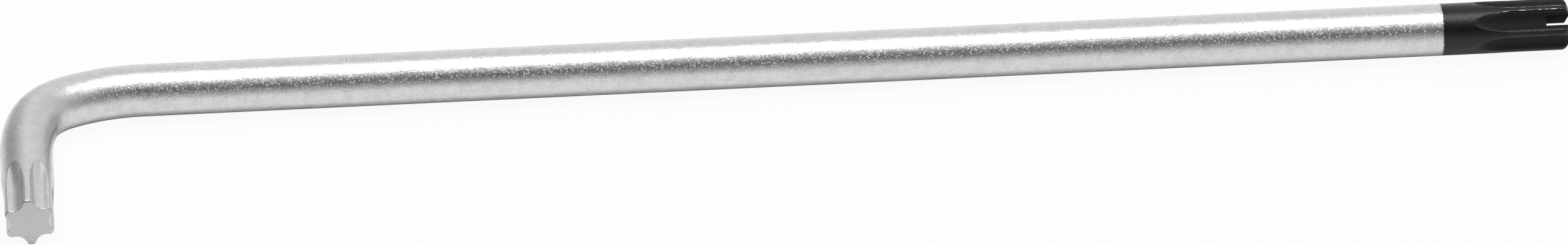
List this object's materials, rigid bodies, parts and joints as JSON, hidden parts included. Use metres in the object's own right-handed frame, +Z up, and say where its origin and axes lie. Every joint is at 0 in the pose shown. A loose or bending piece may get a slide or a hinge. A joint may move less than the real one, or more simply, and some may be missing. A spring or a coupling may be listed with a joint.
{
  "type": "star key",
  "caption": "Long L-shaped key of round bar for turning six-lobed socket screws, satin plated, with a fluted star at each end and a black, slotted long tip.",
  "frame": {"origin": "middle of the key's footprint on the bench it lies on", "axes": "+X along the long arm towards its black tip, -Y along the short arm towards its tip, +Z up from the bench"},
  "size_m": [0.2, 0.032, 0.0066],
  "materials": {
    "satin_chrome": "fine-grained satin chrome plating on tool steel",
    "black_finish": "satin black finish on bare tool steel, rubbed on the edges"
  },
  "bodies": {
    "root": {"long_shaft": "satin_chrome", "bend_lead_in": "satin_chrome", "bend": "satin_chrome", "bend_lead_out": "satin_chrome", "short_shaft": "satin_chrome", "short_star_tip": "satin_chrome", "black_neck": "black_finish", "long_star_tip": "black_finish"}
  },
  "joints": []
}
